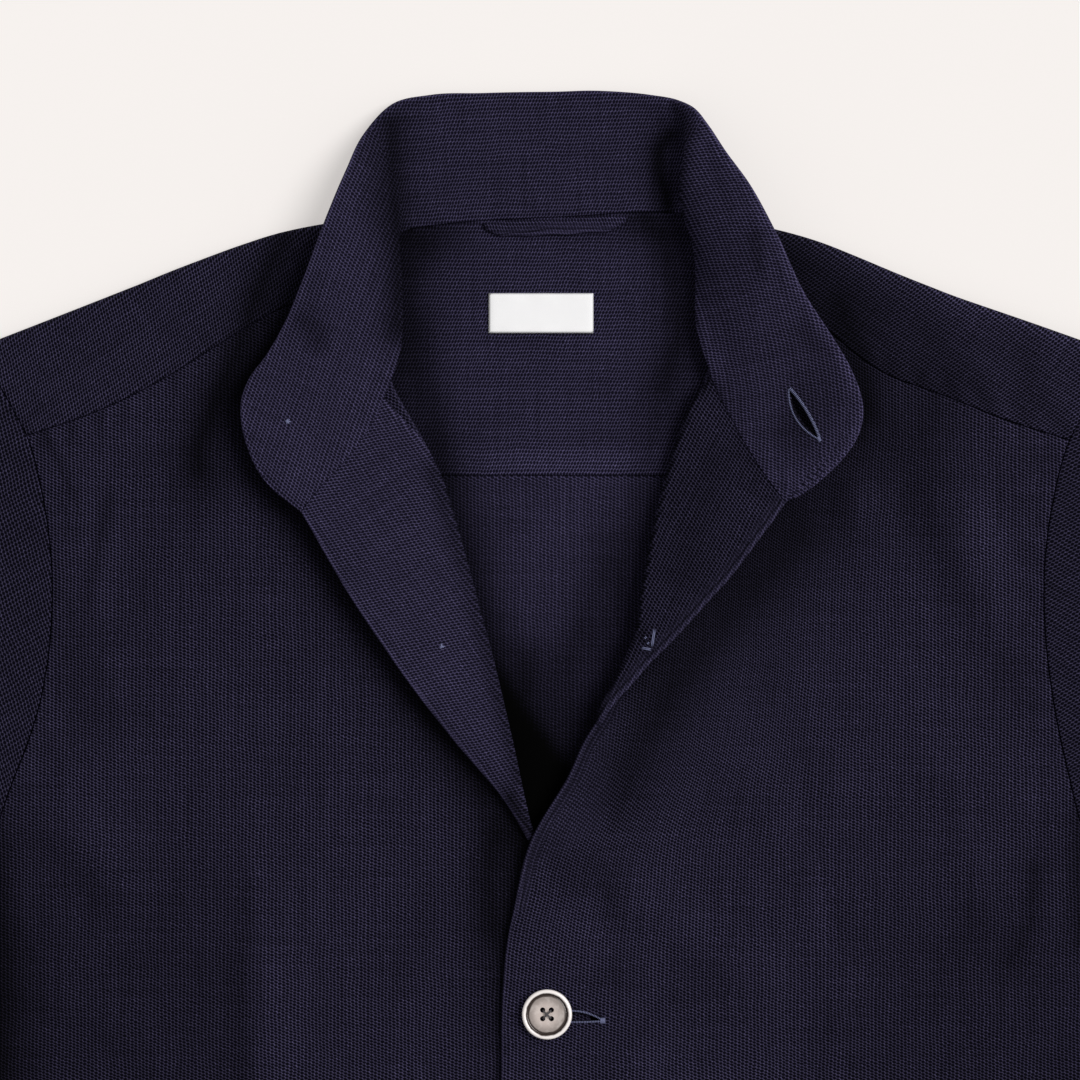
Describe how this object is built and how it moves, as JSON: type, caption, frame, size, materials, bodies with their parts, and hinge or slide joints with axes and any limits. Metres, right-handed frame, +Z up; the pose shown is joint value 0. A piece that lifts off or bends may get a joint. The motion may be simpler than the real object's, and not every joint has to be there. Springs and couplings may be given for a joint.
{
  "type": "stand-collar jacket laid flat",
  "caption": "Navy long-sleeved button-front jacket with a stand collar folded open, laid flat on its back; a garment prop to rest on a table or bed.",
  "frame": {"origin": "on the underside of the back panel, on the centre line, 329 mm below the back neck seam", "axes": "+Z up out of the laid cloth, +Y from the hem towards the collar, +X towards the wearer's left side, which is the right-hand side seen from above"},
  "size_m": [1.0734, 0.771, 0.0248],
  "materials": {
    "navy_cloth": "matte textured weave",
    "navy_cloth_inside": "matte, reverse side of the weave",
    "label_cloth": "matte woven tape, plain",
    "button": "polished, pearly grey"
  },
  "bodies": {
    "root": {"back": "navy_cloth_inside", "yoke": "navy_cloth", "front_right": "navy_cloth", "front_left": "navy_cloth", "facing_right": "navy_cloth", "facing_left": "navy_cloth", "collar": "navy_cloth", "sleeve_left": "navy_cloth", "sleeve_right": "navy_cloth", "hanger_loop": "navy_cloth", "neck_label": "label_cloth", "button_collar": "button", "button_lapel": "button", "button_chest": "button", "button_waist": "button", "button_lower": "button"}
  },
  "joints": []
}
